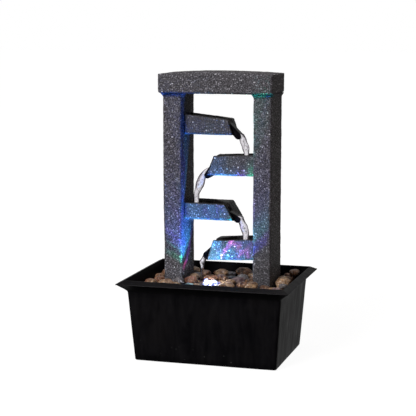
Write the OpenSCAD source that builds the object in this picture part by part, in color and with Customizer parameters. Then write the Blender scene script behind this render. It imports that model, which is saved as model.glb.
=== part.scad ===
// Tabletop water fountain. Two granite-look posts and a cap carry four staggered ledges. Each ledge
// is a trough with a glossy spout that pours into the next one. The tower stands on a perforated
// tray in a moulded basin, a bed of river pebbles hides the tray, and a pump in the reservoir under
// the tray lifts water through the left post to the top ledge. A light in the pebbles shines up.
// Units are millimetres, +Z is up, and the origin is on the resting plane under the basin's middle.

/* [Basin] */
// Width of the rim, from outer edge to outer edge
rim_w = 210; // [204:1:216]
// Depth of the rim, from outer edge to outer edge
rim_d = 165; // [160:1:170]
// Height of the rim's outer edge
rim_z = 95.8; // [95:0.1:97]
// Width of the body under the rim
body_w = 188; // [186:1:190]
// Depth of the body under the rim
body_d = 143; // [141:1:145]
// How much narrower the body is at its base than under the rim
body_taper = 13; // [8:1:14]
// Thickness of the basin's walls
wall = 2.6; // [2.2:0.1:3]

/* [Tray and pebbles] */
// Height of the tray's top face
tray_z = 78; // [77.5:0.5:78.5]
// Thickness of the tray
tray_t = 3; // [2.5:0.5:3.5]
// Height that no pebble of the bed passes
bed_top = 96; // [94:1:97]

/* [Tower] */
// Distance from the middle of the tower to the middle of each post
post_x = 55.9; // [55:0.1:57]
// Width of a post
post_w = 22; // [21:0.5:23]
// Depth of a post
post_d = 54; // [52:1:56]
// Height of the posts' top face, which carries the cap
post_top = 319.3; // [318:0.1:321]
// How far behind the basin's middle the posts' middle is
post_y = 15.5; // [15:0.5:16]
// Width of the cap
cap_w = 141.4; // [141:0.2:142]
// Thickness of the cap at its ends
cap_t = 23; // [22:0.5:24]
// How far the cap stands out in front of the posts
cap_front = 9.5; // [8:0.5:11]
// Height of the crown of the cap's top face
cap_crown = 2.6; // [2:0.2:3]
// Thickness of the trough walls of a ledge
trough_wall = 4; // [3.6:0.2:4.4]
// Depth of a trough at the post
trough_depth = 9; // [8.6:0.2:9.4]
// Radius of a spout's rounded lip
lip_r = 4; // [3.6:0.2:4.4]
// Width of a spout's lip
lip_w = 12; // [11.5:0.5:12.5]

/* [Water path] */
// Inner radius of the riser tube
tube_bore_r = 4; // [4:0.1:4.2]
// Outer radius of the riser tube
tube_r = 5.5; // [5.5:0.1:5.7]
// Height of the outlet over the top trough
outlet_z = 289.1; // [289:0.1:289.3]

/* [Pump] */
// Width of the pump
pump_w = 38; // [37:1:40]
// Height of the pump's casing
pump_h = 34; // [33:1:36]
// Depth of the potted motor block
motor_d = 28; // [28:0.5:28.5]
// Radius of the impeller
impeller_r = 10.5; // [9.5:0.5:11]
// Number of impeller blades
blade_count = 6; // [5:1:8]

/* [Light] */
// Distance of the light from the middle, to the right
light_x = -3; // [-4:1:-2]
// Distance of the light from the middle, to the back
light_y = -27; // [-28:1:-26]
// Outer radius of the light
light_r = 11.5; // [11:0.5:12]
// Height of the lens's rim
light_z = 91.5; // [91:0.5:92]

/* [Hidden] */

$fn = 64;
eps = 0.02;
thin = 0.01;

// Basin
foot_gap = 0.8;        // the pads lift the basin this much
floor_t = 3;
floor_z = foot_gap + floor_t;
body_z = 86.5;         // the rim's flare begins here
body_r = 3;
rim_r = 0.8;
ridge_in = 7.2;        // the rim's ridge is this far inside its outer edge
ridge_z = rim_z + 4;
ridge_t = 1.4;
foot_r = 7;
foot_h = 1.8;
foot_at = [70, 47];
gland_at = [62, 63];   // x and z of the cord's gland in the back wall
gland_r = 5.2;
gland_bore_r = 2.6;
gland_flange = [1.6, 2.4];   // how far the gland's inner flange stands out, and its thickness

// Tray
tray_gap = 1.2;        // between the tray's edge and the basin
tray_r = 4;
leg_r = 4.5;
leg_at = [73, 57];
slot = [3, 11];
slot_pitch = [9.5, 17];
slot_edge = [8, 10];   // solid border of the tray, along its width and depth
slot_light = 3;        // solid border around the light
clip_size = [6, 4];
clip_grip = 0.8;       // half the clip's slit, as a share of the lead's radius
boss_h = 6;            // the tray's bosses stand inside the hollow posts
boss_t = 2;
boss_gap = 20;         // the bosses leave this much free in the middle, for the riser tube

// Posts and cap
post_wall = 4;
post_r = 1.6;
post_flare = 3.2;      // the posts widen under the cap
tenon_h = 6;
tenon_fit = 0.3;
cap_z = post_top;
cap_r = 2.4;
post_front = post_y - post_d / 2;
post_in = post_x - post_w / 2;
cap_back = post_y + post_d / 2 - 0.6;

// Ledges: side of the post, top at the post, top at the free end, bottom at the post, rise of the
// bottom towards the free end, reach of the top, reach of the bottom, depth; then the middle of the
// lip from the bottom tip, across and up, and how far before the tip the spout comes out below
ledge_front = 0;
ledge_r = 2.2;
ledge_tenon = 6;
LEDGES = [
    [-1, 293.6, 287.7, 268.9, 0.0, 55.4, 61.8, 29.0, 5.0, -1.3, 1.5],
    [1, 245.9, 243.4, 219.7, 0.0, 52.5, 61.6, 28.0, -0.1, -0.6, 8.5],
    [-1, 185.6, 185.0, 164.8, 0.0, 51.7, 63.8, 42.0, 2.6, 1.3, 2.0],
    [1, 143.3, 140.0, 117.9, -2.8, 53.0, 61.6, 35.6, 1.5, 4.9, 0.6]
];
spout_t = 2.4;
brink_drop = 0.8;      // the trough floor falls this much to the brink of the ramp
end_wall = 2;          // the granite ends this far inside the slanted end, under the ramp
lip_steps = 14;
throat = [22, 5];      // the trough narrows between these distances from the end of its top
channel_room = 12;     // the channel's plan reaches this far past the ledge

// Pump, with its nozzle under the left post and its rotor along Y
pump_x = -post_x;
pump_z = 10;
nozzle_y = post_y;
cover_d = 14;
cover_y = nozzle_y - cover_d / 2;
motor_y = cover_y + cover_d;
rotor_z = pump_z + 17;
chamber_r = impeller_r + 2;
chamber_y = cover_y + 3;
nozzle_r = tube_bore_r - 0.05;
nozzle_bore_r = 2.6;
nozzle_top = 58;
tube_bottom = 48;
blade_t = 1.2;
magnet_r = 7;
magnet_l = 20;
magnet_y = motor_y + 1.6;
rotor_gap = 0.5;
shaft_r = 1.15;
shaft_fit = 0.05;
shaft_y = chamber_y - 1.6;
shaft_l = 38.6;
bush_r = 2.6;
bush_l = 3;
pump_r = 2.5;
grille_d = 6;
grille_wall = 1.4;
grille_bars = 6;       // slits on each side of the middle
bar_pitch = 2.6;
bar_gap = 1.4;
tab = 3.6;             // width of the slide's thumb tab
tab_slot = 4.4;        // height of the slot that the tab runs in
tab_drop = 8;          // from the pump's top to the slot's bottom
intake_r = 5;
slide_t = 1.5;
slide_size = [11.4, 15];
slide_shut = 10;       // the slide closes the intake after this travel
slide_open_x = -10.4;  // the slide's middle from the rotor's axis when the intake is open
seal_r = 1;
cup_h = pump_z - floor_z;

// Light
lens_t = 2.4;
light_wall = 1.6;
lens_r = light_r - light_wall;
light_foot_z = 66;
board_z = 82;
board_t = 1.6;
emitter = [3.4, 3.4, 1.4];
emitter_ring = 5;
emitters = 6;
seal_h = 1.2;
lens_dome = 1.6;
lead_r = 1.5;
lead_z = 58;
lead_bend = 5;
lead_back_y = 46;
lead_in_x = pump_x + 11;
lead_in = 6;           // the lead goes this deep into the pump's block

// Pebbles: the vertical half-axis is at most this share of the horizontal one
pebble_flat = 0.6;
pebble_gap = 0.25;
bed_in = 0.6;
bed_tries = 60;
under_h = 8.8;         // thickness of the bed under the visible layer
under_stones = 110;
stone_r = [5.6, 7.2];
filler_stones = 96;
filler_r = [5.2, 7.6];
settle_step = 1.1;
settle_steps = 4;
// Stones of the visible layer, which lie on the bed: x, y, width, depth, height, turn, colour
TOP_PEBBLES = [
    [-64, -24, 21, 15, 12, 10, "tan"], [-82, -20, 16, 14, 9.6, 60, "russet"],
    [-80, 12, 15, 13, 9, 100, "brown"], [-80, 38, 15, 13, 9, 20, "tan"],
    [-50, -17, 13, 12, 7.8, 80, "grey"], [-37, -14, 17, 14, 10, 160, "russet"],
    [-43, -36, 16, 11, 9, 15, "tan"], [-26, -31, 16, 12, 9, 5, "teal"],
    [-20, -9, 14, 12, 8.4, 30, "plum"], [-8, 12, 19, 13, 10, 10, "russet"],
    [-13, 38, 19, 13, 10.8, 170, "tan"], [-40, 30, 15, 13, 9, 30, "grey"],
    [-30, 46, 15, 12, 9, 70, "plum"], [5, 27, 15, 13, 9, 60, "slate"],
    [12, 54, 21, 12, 10.8, 15, "brown"], [24, 14, 19, 15, 11.4, 25, "plum"],
    [28, 44, 15, 13, 9, 0, "tan"], [16, -20, 17, 12, 9, 175, "tan"],
    [31, -22, 17, 13, 9.6, 10, "brown"], [44, -24, 16, 13, 9.6, 50, "tan"],
    [58, -25, 14, 12, 8.2, 0, "brown"], [72, -26, 16, 12, 9, 20, "tan"],
    [79, 4, 21, 16, 12.6, 40, "tan"], [78, 40, 16, 13, 9.6, 0, "brown"],
    [70, 58, 17, 13, 10, 150, "russet"], [-60, 56, 16, 13, 9, 0, "plum"],
    [80, 56, 14, 12, 8.4, 30, "brown"], [-80, -4, 14, 12, 8.4, 30, "russet"],
    [-81, 25, 15, 13, 9, 70, "brown"]
];
BED_COLOURS = ["brown", "tan", "russet", "brown", "grey", "tan", "plum"];

// ---- Helpers ----

// A flat rectangle with round corners, centred, made of true arcs
module round_rect(w, d, r) {
    square([w - 2 * r, d], center = true);
    square([w, d - 2 * r], center = true);
    for (x = [-1, 1], y = [-1, 1]) translate([x * (w / 2 - r), y * (d / 2 - r)]) circle(r);
}

module round_block(w, d, h, r) linear_extrude(h) round_rect(w, d, r);

module ring(r_out, r_in, h) difference() {
    cylinder(r = r_out, h = h);
    translate([0, 0, -1]) cylinder(r = r_in, h = h + 2);
}

// A slab as a section of a tapering shell
module section(w, d, z, r) translate([0, 0, z]) linear_extrude(thin) round_rect(w, d, r, $fn = 32);

// A solid that tapers from one section to another
module taper(w1, d1, z1, w2, d2, z2, r1 = body_r, r2 = body_r) hull() {
    section(w1, d1, z1, r1);
    section(w2, d2, z2 - thin, r2);
}

module along_y(y = 0) translate([0, y, 0]) rotate([-90, 0, 0]) children();

// Width that the basin's body gains from its base up to the height z
function body_gain(z) = body_taper * (z - foot_gap) / (body_z - foot_gap);
function inner_w(z) = body_w - body_taper + body_gain(z) - 2 * wall;
function inner_d(z) = body_d - body_taper + body_gain(z) - 2 * wall;

// Direction from the centre c to where the line from p touches the circle c, r, in degrees;
// side is 1 where the circle's left side is touched and -1 for its right side
function touch(p, c, r, side) = atan2(p[1] - c[1], p[0] - c[0]) - side * acos(r / norm(p - c));

// Points on the circle c, r from the direction a round to b
function arc(c, r, a, b, steps) = [for (k = [0:steps])
    let (turn = a + (b - a) * k / steps) c + r * [cos(turn), sin(turn)]];

// ---- Basin ----

module basin() color([0.06, 0.055, 0.07]) difference() {
    union() {
        taper(body_w - body_taper, body_d - body_taper, foot_gap, body_w, body_d, body_z);
        taper(body_w, body_d, body_z - thin, rim_w, rim_d, rim_z, body_r, rim_r);
        taper(rim_w, rim_d, rim_z - thin, rim_w - 2 * ridge_in, rim_d - 2 * ridge_in, ridge_z,
            rim_r, rim_r);
    }
    taper(inner_w(floor_z), inner_d(floor_z), floor_z, inner_w(body_z), inner_d(body_z), body_z);
    taper(inner_w(body_z), inner_d(body_z), body_z - 2 * thin,
        rim_w - 2 * (ridge_in + ridge_t), rim_d - 2 * (ridge_in + ridge_t), ridge_z + 3 * thin);
    for (x = [-1, 1], y = [-1, 1])
        translate([x * foot_at[0], y * foot_at[1], -1]) cylinder(r = foot_r, h = foot_h + 1);
    translate([gland_at[0], 0, gland_at[1]]) along_y(body_d / 2 - 15) cylinder(r = gland_r, h = 20);
}

module foot_pads() color([0.1, 0.1, 0.1])
    for (x = [-1, 1], y = [-1, 1])
        translate([x * foot_at[0], y * foot_at[1], 0]) cylinder(r = foot_r, h = foot_h);

// A rubber bush that seals the mains lead's way through the back wall
module cable_gland() {
    start = inner_d(gland_at[1]) / 2 - gland_flange[1] - 0.8;
    length = gland_flange[1] + wall + 3;
    flange_r = gland_r + gland_flange[0];
    color([0.08, 0.08, 0.08]) translate([gland_at[0], 0, gland_at[1]]) difference() {
        union() {
            along_y(start) cylinder(r = gland_r, h = length);
            along_y(start) cylinder(r = flange_r, h = gland_flange[1]);
            along_y(start + length - 1.4) cylinder(r = flange_r, h = 2.2);
        }
        along_y(start - 1) cylinder(r = gland_bore_r, h = length + 4);
    }
}

// ---- Tray ----

function post_distance(x, y, side) = norm([
    max(abs(x - side * post_x) - post_w / 2, 0), max(abs(y - post_y) - post_d / 2, 0)]);
function light_distance(x, y) = norm([x - light_x, y - light_y]) - light_r;
function leg_distance(x, y) = norm([abs(x) - leg_at[0], abs(y) - leg_at[1]]) - leg_r;

module tray_slots() {
    cols = floor((inner_w(tray_z) / 2 - slot_edge[0]) / slot_pitch[0]);
    rows = floor((inner_d(tray_z) / 2 - slot_edge[1]) / slot_pitch[1]);
    for (i = [-cols:cols], j = [-rows:rows]) {
        x = i * slot_pitch[0];
        y = j * slot_pitch[1];
        room = min(post_distance(x, y, -1), post_distance(x, y, 1),
            light_distance(x, y) - slot_light, leg_distance(x, y));
        if (room > slot[1] / 2) translate([x, y]) square(slot, center = true);
    }
}

module tray() color([0.09, 0.09, 0.1]) difference() {
    union() {
        translate([0, 0, tray_z - tray_t]) linear_extrude(tray_t) difference() {
            round_rect(inner_w(tray_z - tray_t) - 2 * tray_gap,
                inner_d(tray_z - tray_t) - 2 * tray_gap, tray_r);
            tray_slots();
            translate([light_x, light_y]) circle(lens_r + 0.3);
        }
        for (x = [-1, 1], y = [-1, 1]) translate([x * leg_at[0], y * leg_at[1], floor_z])
            cylinder(r = leg_r, h = tray_z - tray_t / 2 - floor_z);
        for (side = [-1, 1]) translate([side * post_x, post_y, tray_z - eps]) difference() {
            round_block(post_w - 2 * (post_wall + 0.4), post_d - 2 * (post_wall + 0.4), boss_h, 1);
            translate([0, 0, -1]) round_block(post_w - 2 * (post_wall + boss_t + 0.4),
                post_d - 2 * (post_wall + boss_t + 0.4), boss_h + 2, 0.8);
            translate([-post_w / 2, -boss_gap / 2, -1]) cube([post_w, boss_gap, boss_h + 2]);
        }
        lead_clip(light_x, 8, 0);
        lead_clip(light_x - 20, lead_back_y, 90);
    }
    translate([-post_x, nozzle_y, 0]) cylinder(r = tube_r + 0.6, h = tray_z + boss_h + 1);
}

// A hanging hook under the tray that holds the light's lead
module lead_clip(x, y, turn) translate([x, y, 0]) rotate([0, 0, turn]) difference() {
    bottom = lead_z - clip_size[0] / 2;
    translate([-clip_size[0] / 2, -clip_size[1] / 2, bottom])
        cube([clip_size[0], clip_size[1], tray_z - tray_t + 1 - bottom]);
    translate([0, 0, lead_z]) along_y(-clip_size[1]) cylinder(r = lead_r, h = 2 * clip_size[1]);
    translate([0, -clip_size[1], lead_z - lead_r * clip_grip])
        cube([clip_size[0], 2 * clip_size[1], 2 * lead_r * clip_grip]);
}

// ---- Pebbles: x, y, height of the middle, half-width, half-depth, half-height, turn, colour ----

// Height of the middle of a stone of half-width r that comes to rest at x, y on the others
function rest_z(x, y, r, placed) = max([
    tray_z + pebble_gap + pebble_flat * r,
    for (p = placed)
        let (reach = r + p[3] + pebble_gap, off = norm([x - p[0], y - p[1]]))
        if (off < reach) p[2] + pebble_flat * sqrt(reach * reach - off * off)
]);

function bed_room(x, y) = min(
    post_distance(x, y, -1), post_distance(x, y, 1), light_distance(x, y),
    inner_w(tray_z) / 2 - bed_in - abs(x), inner_d(tray_z) / 2 - bed_in - abs(y)) - pebble_gap;

// A stone of the visible layer settles where it lies the lowest, within a few steps of its place
function settled(t, placed) =
    let (
        r = max(t[2], t[3]) / 2,
        spots = [for (i = [-settle_steps:settle_steps], j = [-settle_steps:settle_steps])
            let (x = t[0] + i * settle_step, y = t[1] + j * settle_step)
            if (bed_room(x, y) > r) [rest_z(x, y, r, placed), x, y]],
        low = min([for (s = spots) s[0]]),
        at = [for (s = spots) if (s[0] == low) s][0]
    )
    [at[1], at[2], low, r, min(t[2], t[3]) / 2, t[4] / 2, t[5], t[6]];

// Adds n stones one at a time, each where it comes to rest the lowest of several tries
function fill_bed(placed, n, r_low, r_high, top, seed) = n == 0 ? placed :
    let (
        dice = rands(0, 1, 4 + 2 * bed_tries, seed + n),
        r = r_low + (r_high - r_low) * dice[0],
        spots = [for (k = [0:bed_tries - 1])
            let (
                x = (dice[4 + 2 * k] - 0.5) * inner_w(tray_z),
                y = (dice[5 + 2 * k] - 0.5) * inner_d(tray_z)
            )
            if (bed_room(x, y) > r) [rest_z(x, y, r, placed), x, y]],
        low = min([top, for (s = spots) s[0] + pebble_flat * r]),
        found = [for (s = spots) if (s[0] + pebble_flat * r == low) s],
        next = len(found) == 0 || low >= top ? placed : concat(placed, [
            [found[0][1], found[0][2], found[0][0], r, r * (0.76 + 0.22 * dice[1]),
                pebble_flat * r * (0.84 + 0.16 * dice[2]), 180 * dice[3],
                BED_COLOURS[floor(dice[1] * len(BED_COLOURS))]]])
    )
    fill_bed(next, n - 1, r_low, r_high, top, seed);

function lay_top(placed, k = 0) = k == len(TOP_PEBBLES) ? placed :
    lay_top(concat(placed, [settled(TOP_PEBBLES[k], placed)]), k + 1);

function pebble_bed() =
    let (
        under = fill_bed([], under_stones, stone_r[0], stone_r[1], tray_z + under_h, 100),
        shown = lay_top(under)
    )
    fill_bed(shown, filler_stones, filler_r[0], filler_r[1], bed_top, 500);

module pebbles(colour, tint) color(tint) for (p = pebble_bed())
    if (p[7] == colour)
        translate([p[0], p[1], p[2]]) rotate([0, 0, p[6]]) scale([p[3], p[4], p[5]]) sphere(1);

module pebbles_tan() pebbles("tan", [0.62, 0.47, 0.33]);
module pebbles_brown() pebbles("brown", [0.38, 0.25, 0.16]);
module pebbles_russet() pebbles("russet", [0.5, 0.25, 0.15]);
module pebbles_grey() pebbles("grey", [0.45, 0.43, 0.42]);
module pebbles_plum() pebbles("plum", [0.38, 0.3, 0.31]);
module pebbles_slate() pebbles("slate", [0.12, 0.14, 0.18]);
module pebble_teal() pebbles("teal", [0.45, 0.66, 0.67]);

// ---- Tower ----

granite = [0.27, 0.26, 0.28];

module post_tenon(h) round_block(post_w - 8, post_d - 16, h, post_r);

// A hollow post with mortises for its ledges; side is -1 on the left and 1 on the right
module post(side) {
    post_h = post_top - tray_z;
    difference() {
        translate([side * post_x, post_y, 0]) difference() {
            union() {
                translate([0, 0, tray_z]) round_block(post_w, post_d, post_h, post_r);
                taper(post_w - 0.4, post_d - 0.4, post_top - post_flare - 1.2,
                    cap_w - 2 * post_x - 1.6, post_d + 2 * post_flare - 2, post_top, post_r, post_r);
                translate([0, 0, post_top - eps]) post_tenon(tenon_h + eps);
            }
            translate([0, 0, tray_z - 1])
                round_block(post_w - 2 * post_wall, post_d - 2 * post_wall, post_h - post_wall + 1, 1);
            // the flare stays inside the cap's back
            translate([-post_w, post_d / 2, post_top - 10]) cube([2 * post_w, 10, 10 + tenon_h + 1]);
        }
        for (ledge = LEDGES) if (ledge[0] == side) tenon(ledge);
        if (side < 0) translate([-post_x, post_y, outlet_z]) rotate([0, 90, 0])
            cylinder(r = elbow_r, h = post_w);
    }
}

module left_post() color(granite) post(-1);
module right_post() color(granite) post(1);

module cap() color(granite) {
    depth = cap_back - post_front + cap_front;
    top_z = cap_z + cap_t + cap_crown;
    crown_r = (cap_w * cap_w / 4 + cap_crown * cap_crown) / (2 * cap_crown);
    middle_y = (cap_back + post_front - cap_front) / 2;
    difference() {
        intersection() {
            translate([0, middle_y, cap_z]) round_block(cap_w, depth, cap_t + cap_crown, cap_r);
            translate([0, middle_y + depth / 2 + 1, (cap_z + top_z) / 2]) rotate([90, 0, 0])
                round_block(cap_w, top_z - cap_z, depth + 2, cap_r);
            translate([-cap_w / 2 - 1, middle_y, (cap_z + top_z) / 2]) rotate([90, 0, 90])
                round_block(depth, top_z - cap_z, cap_w + 2, cap_r);
            translate([0, 0, top_z - crown_r]) along_y(middle_y - depth / 2 - 1)
                cylinder(r = crown_r, h = depth + 2, $fn = 400);
        }
        for (side = [-1, 1]) translate([side * post_x, post_y, cap_z - 1]) post_tenon(tenon_h + 1);
    }
}

// Places its children, drawn with x away from the post, on the ledge's side
module at_post(ledge) translate([ledge[0] * post_in, ledge_front, 0])
    scale_x(-ledge[0]) children();
module scale_x(s) if (s > 0) children(); else mirror([1, 0, 0]) children();

function ledge_tip(ledge) = [ledge[6], ledge[3] + ledge[4]];
function trough_z(ledge) = ledge[1] - trough_depth;
// Reach of the slanted free end at the height z
function end_reach(ledge, z) = ledge[5] + (ledge[2] - z) * (ledge[6] - ledge[5])
    / (ledge[2] - ledge_tip(ledge)[1]);

// Where the spout comes out of the ledge's underside
function spout_root(ledge) = ledge_tip(ledge) - [ledge[10], 0];

// Side outline of the spout: trough floor, ramp, rounded lip and the way back under the lip
function spout_outline(ledge) =
    let (
        floor_at = trough_z(ledge),
        under = floor_at - spout_t,
        brink = [end_reach(ledge, floor_at - brink_drop) - 0.6, floor_at - brink_drop],
        lip = ledge_tip(ledge) + [ledge[8], ledge[9]],
        from = touch(brink, lip, lip_r, 1),
        round = (from - touch(spout_root(ledge), lip, lip_r, -1) + 720) % 360
    )
    concat(
        [[0, under], [0, floor_at], brink],
        arc(lip, lip_r, from, from - round, lip_steps),
        [spout_root(ledge), [end_reach(ledge, under) - end_wall, under]]
    );

// Extrudes a side outline over the ledge's depth
module across(depth) translate([0, depth, 0]) rotate([90, 0, 0]) linear_extrude(depth) children();

// Plan of the water's way: wide at the post, and as narrow as the lip from the throat on
module channel(ledge, start) translate([0, 0, ledge_tip(ledge)[1] - channel_room])
    linear_extrude(ledge[1] - ledge_tip(ledge)[1] + 2 * channel_room) polygon([
        [start, trough_wall], [ledge[6] + channel_room, trough_wall],
        [ledge[6] + channel_room, trough_wall + lip_w], [ledge[5] - throat[1], trough_wall + lip_w],
        [ledge[5] - throat[0], ledge[7] - trough_wall], [start, ledge[7] - trough_wall]]);

module spout(ledge) color([0.03, 0.03, 0.035]) at_post(ledge) intersection() {
    across(ledge[7]) polygon(spout_outline(ledge));
    channel(ledge, 0);
}

// Everything above the spout's underside, between the trough's walls
module trough(ledge) intersection() {
    under = trough_z(ledge) - spout_t;
    end = end_reach(ledge, under) - end_wall;
    above = ledge[1] + 1;
    across(ledge[7]) polygon([[-1, under], [-1, above], [ledge[6] + 9, above],
        [ledge[6] + 9, ledge_tip(ledge)[1] - 1], spout_root(ledge) - [0, 1], spout_root(ledge),
        [end, under]]);
    channel(ledge, -2);
}

module tenon(ledge) at_post(ledge)
    translate([-post_wall, trough_wall + 1, ledge[3] + 3])
        cube([post_wall + eps, ledge[7] - 2 * trough_wall - 2, ledge_tenon]);

module ledge(ledge) color(granite) {
    at_post(ledge) difference() {
        intersection() {
            across(ledge[7]) polygon([
                [0, ledge[3]], [0, ledge[1]], [ledge[5], ledge[2]], ledge_tip(ledge)]);
            // the lower edges are round
            translate([-1, ledge[7] / 2, ledge[3]]) rotate([0, -atan2(ledge[4], ledge[6]), 0])
                rotate([90, 0, 90]) linear_extrude(ledge[6] + 12)
                translate([0, 30]) round_rect(ledge[7], 60, ledge_r);
        }
        trough(ledge);
    }
    tenon(ledge);
}

module ledge_1() ledge(LEDGES[0]);
module ledge_2() ledge(LEDGES[1]);
module ledge_3() ledge(LEDGES[2]);
module ledge_4() ledge(LEDGES[3]);
module spout_1() spout(LEDGES[0]);
module spout_2() spout(LEDGES[1]);
module spout_3() spout(LEDGES[2]);
module spout_4() spout(LEDGES[3]);

// ---- Water path ----

elbow_z = outlet_z - 10;
elbow_r = tube_bore_r + 0.4;

module riser_tube() color([0.85, 0.87, 0.88, 0.6]) translate([-post_x, nozzle_y, tube_bottom])
    ring(tube_r, tube_bore_r, elbow_z - tube_bottom);

module outlet_elbow() color([0.1, 0.1, 0.11]) translate([-post_x, nozzle_y, 0]) difference() {
    union() {
        translate([0, 0, elbow_z - 8]) cylinder(r = tube_bore_r, h = 8);
        translate([0, 0, elbow_z]) cylinder(r = elbow_r, h = outlet_z - elbow_z);
        translate([0, 0, outlet_z]) sphere(elbow_r);
        translate([0, 0, outlet_z]) rotate([0, 90, 0]) cylinder(r = elbow_r, h = post_w / 2 + 3);
    }
    translate([0, 0, elbow_z - 9]) cylinder(r = tube_bore_r - 1.2, h = outlet_z - elbow_z + 9);
    translate([0, 0, outlet_z]) sphere(tube_bore_r - 1.2);
    translate([0, 0, outlet_z]) rotate([0, 90, 0]) cylinder(r = tube_bore_r - 1.2, h = post_w);
}

// ---- Pump: drawn about its rotor's axis, with the cover at the front ----

pump_top = pump_z + pump_h;

module at_rotor(y) translate([pump_x, 0, rotor_z]) along_y(y) children();

// A block of the pump's outline, from y and d deep
module pump_block(y, d, w = pump_w, h = pump_h, r = pump_r)
    translate([pump_x, y + d, pump_z + pump_h / 2]) rotate([90, 0, 0]) round_block(w, h, d, r);

coil_r = 3.6;
leg_w = 5.5;
core_y = motor_y + 4;
core_d = 15;
core_x = 9.6;          // from the rotor's axis to the inside of a core leg

// A laminated iron U whose legs hold the rotor between them
module stator_core() color([0.4, 0.4, 0.42]) translate([pump_x, core_y, 0]) difference() {
    translate([-core_x - leg_w, 0, rotor_z - 7]) cube([2 * (core_x + leg_w), core_d, 21]);
    translate([-core_x, -1, rotor_z - 8]) cube([2 * core_x, core_d + 2, 17.4]);
}

// The winding on the core's bridge
module stator_coil() color([0.65, 0.33, 0.15]) translate([pump_x, core_y, 0]) difference() {
    translate([-7.5, -1.6, rotor_z + 7.8]) cube([15, core_d + 3.2, 8]);
    translate([-8, 0, rotor_z + 9.4]) cube([16, core_d, 4.6]);
}

module pump_motor_block() color([0.05, 0.05, 0.055]) difference() {
    pump_block(motor_y, motor_d);
    at_rotor(motor_y - 1)
        cylinder(r = magnet_r + rotor_gap, h = magnet_y + magnet_l + 2 - motor_y);
    at_rotor(motor_y) cylinder(r = bush_r, h = shaft_y + shaft_l - motor_y);
    at_rotor(motor_y) seal_groove();
    stator_core();
    stator_coil();
    translate([lead_in_x, lead_back_y, pump_top - lead_in]) cylinder(r = lead_r, h = lead_in + 2);
    cup_stems();
}

module seal_groove() rotate_extrude() translate([chamber_r + 2.2, 0]) circle(seal_r);
module pump_seal_ring() color([0.1, 0.1, 0.1]) at_rotor(motor_y) seal_groove();

module pump_cover() color([0.07, 0.07, 0.075]) difference() {
    union() {
        pump_block(cover_y, cover_d);
        translate([pump_x, nozzle_y, pump_top - 2]) cylinder(r = nozzle_r, h = nozzle_top - pump_top + 2);
        translate([pump_x, nozzle_y, pump_top - 2]) cylinder(r = nozzle_r + 1.4, h = 3.6);
    }
    difference() {
        at_rotor(chamber_y) cylinder(r = chamber_r, h = motor_y - chamber_y + 1);
        cover_spider();
    }
    translate([pump_x, nozzle_y, rotor_z]) cylinder(r = nozzle_bore_r, h = nozzle_top);
    difference() {
        at_rotor(cover_y - 1) cylinder(r = intake_r, h = 6);
        cover_spider();
    }
    at_rotor(shaft_y) cylinder(r = bush_r, h = bush_l);
    at_rotor(motor_y) seal_groove();
}

// The boss and arms that carry the shaft's front end in the intake
module cover_spider() {
    at_rotor(cover_y) cylinder(r = bush_r + 0.9, h = shaft_y + bush_l - cover_y);
    for (turn = [0, 90]) translate([pump_x, cover_y + 1, rotor_z]) rotate([0, turn, 0])
        translate([-intake_r - 1, 0, -0.7]) cube([2 * intake_r + 2, 2, 1.4]);
}

module rotor_shaft() color([0.9, 0.9, 0.88]) at_rotor(shaft_y) cylinder(r = shaft_r, h = shaft_l);

module shaft_bushings() color([0.15, 0.15, 0.15]) {
    at_rotor(shaft_y) ring(bush_r, shaft_r, bush_l);
    at_rotor(shaft_y + shaft_l - bush_l) ring(bush_r, shaft_r, bush_l);
}

module rotor_magnet() color([0.22, 0.22, 0.24]) at_rotor(magnet_y)
    ring(magnet_r, shaft_r + 1.2, magnet_l);

module impeller() color([0.85, 0.85, 0.82]) {
    hub_y = shaft_y + bush_l + 0.5;
    at_rotor(hub_y) ring(shaft_r + 1.2, shaft_r + shaft_fit, magnet_y + magnet_l - hub_y);
    at_rotor(motor_y - 1.8) ring(impeller_r, shaft_r + 0.6, 1.4);
    for (k = [0:blade_count - 1]) at_rotor(hub_y + 1) rotate([0, 0, k * 360 / blade_count])
        translate([shaft_r + 0.7, -blade_t / 2, 0])
            cube([impeller_r - shaft_r - 1.2, blade_t, motor_y - 1.6 - hub_y - 1]);
}

grille_y = cover_y - grille_d;
grille_w = pump_w - 1;
grille_h = pump_h - 1;

// A shallow slotted box on the intake, in which the flow slide runs
module pump_grille() color([0.07, 0.07, 0.075]) difference() {
    pump_block(grille_y, grille_d, grille_w, grille_h);
    pump_block(grille_y + grille_wall, grille_d, grille_w - 2 * grille_wall,
        grille_h - 2 * grille_wall, pump_r - grille_wall + 0.1);
    for (k = [-grille_bars:grille_bars]) if (k != 0)
        translate([pump_x + k * bar_pitch - bar_gap / 2, grille_y - 1, pump_z + 4])
            cube([bar_gap, grille_wall + 2, pump_h - 15]);
    translate([pump_x + slide_open_x - tab_slot / 2, grille_y - 1, pump_top - tab_drop])
        cube([tab_slot + slide_shut, grille_wall + 2, tab_slot]);
}

// The plate that covers more or less of the intake, with its thumb tab
module flow_slide() color([0.55, 0.56, 0.58]) translate([pump_x + slide_open_x, 0, 0]) {
    plate_y = cover_y - slide_t - 0.4;
    translate([-slide_size[0] / 2, plate_y, rotor_z - slide_size[1] / 2 + 3])
        cube([slide_size[0], slide_t, slide_size[1]]);
    translate([-tab / 2, grille_y - 1.6, pump_top - tab_drop + (tab_slot - tab) / 2])
        cube([tab, plate_y - grille_y + 1.6 + eps, tab]);
}

// Places its children under the four corners of the motor block
module at_cups(z) for (x = [-1, 1], y = [5, motor_d - 6])
    translate([pump_x + x * (pump_w / 2 - 7), motor_y + y, z]) children();

module cup_stems() at_cups(pump_z - eps) cylinder(r = 1.6, h = 3);

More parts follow.
